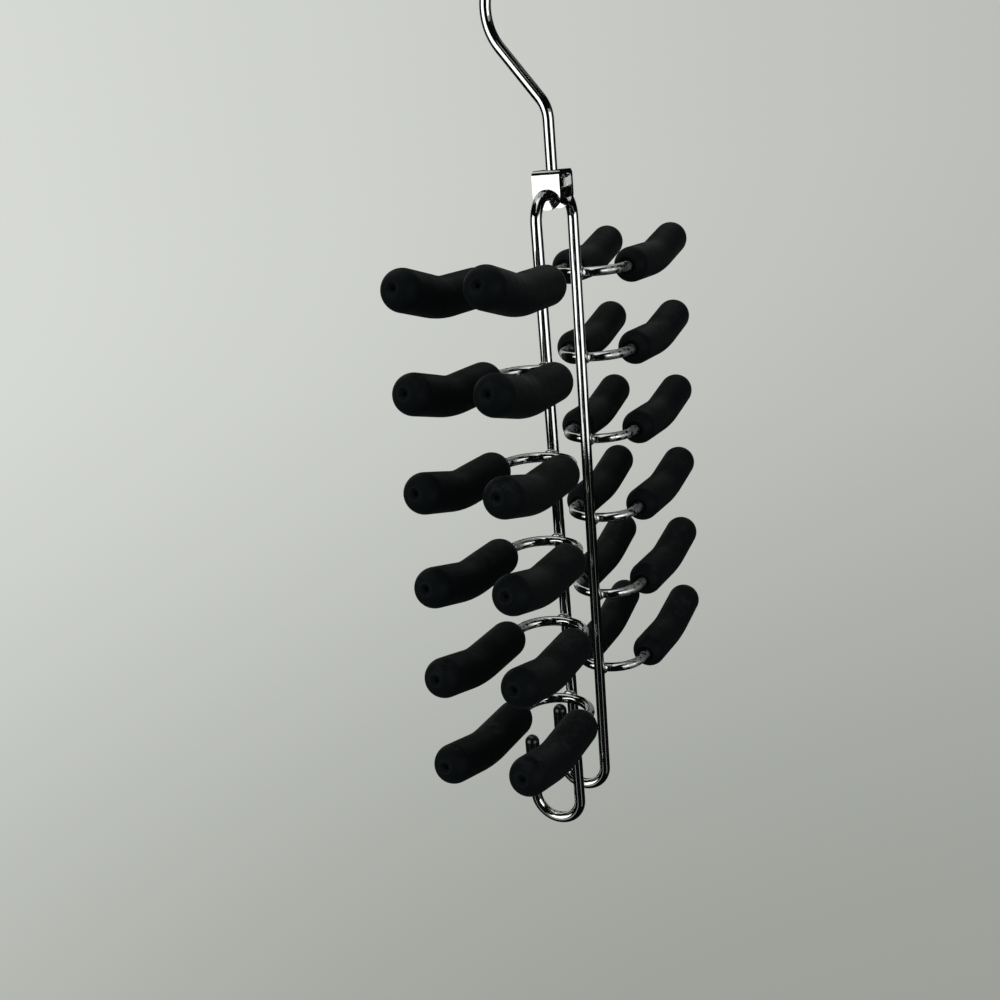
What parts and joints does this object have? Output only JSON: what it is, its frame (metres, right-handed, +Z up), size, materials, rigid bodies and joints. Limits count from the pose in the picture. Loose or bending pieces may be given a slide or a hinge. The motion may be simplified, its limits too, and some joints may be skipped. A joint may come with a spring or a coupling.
{
  "type": "tie hanger",
  "caption": "Hanging rack for ties and belts: a swivel rail hook over a bent wire frame with tiers of paired soft fingers on both sides and two belt hooks at its foot.",
  "frame": {"origin": "centre of the closet rail inside the crook, on the swivel axis", "axes": "+Z up along the swivel axis, X along the rail and the fingers, +Y the way that the belt hooks curl"},
  "size_m": [0.1795, 0.0436, 0.3166],
  "materials": {
    "chrome": "polished",
    "soft_black": "matte"
  },
  "bodies": {
    "hook": {"swivel_hook": "chrome"},
    "bracket": {"saddle_bracket": "chrome"},
    "frame": {"frame_wire": "chrome", "finger_wire_left_1": "chrome", "finger_wire_left_2": "chrome", "finger_wire_left_3": "chrome", "finger_wire_left_4": "chrome", "finger_wire_left_5": "chrome", "finger_wire_left_6": "chrome", "finger_wire_right_1": "chrome", "finger_wire_right_2": "chrome", "finger_wire_right_3": "chrome", "finger_wire_right_4": "chrome", "finger_wire_right_5": "chrome", "finger_wire_right_6": "chrome", "grip_left_1_front": "soft_black", "grip_left_1_back": "soft_black", "grip_left_2_front": "soft_black", "grip_left_2_back": "soft_black", "grip_left_3_front": "soft_black", "grip_left_3_back": "soft_black", "grip_left_4_front": "soft_black", "grip_left_4_back": "soft_black", "grip_left_5_front": "soft_black", "grip_left_5_back": "soft_black", "grip_left_6_front": "soft_black", "grip_left_6_back": "soft_black", "grip_right_1_front": "soft_black", "grip_right_1_back": "soft_black", "grip_right_2_front": "soft_black", "grip_right_2_back": "soft_black", "grip_right_3_front": "soft_black", "grip_right_3_back": "soft_black", "grip_right_4_front": "soft_black", "grip_right_4_back": "soft_black", "grip_right_5_front": "soft_black", "grip_right_5_back": "soft_black", "grip_right_6_front": "soft_black", "grip_right_6_back": "soft_black", "belt_hook_tip_left": "soft_black", "belt_hook_tip_right": "soft_black"}
  },
  "joints": [
    {"name": "hook_swivel", "type": "hinge", "parent": "hook", "child": "bracket", "pos_m": [0, 0, -0.05262], "axis": [0, 0, 1], "continuous": true},
    {"name": "frame_swing", "type": "hinge", "parent": "bracket", "child": "frame", "pos_m": [0, 0, -0.06062], "axis": [1, 0, 0], "range_deg": [-140, 140]}
  ]
}
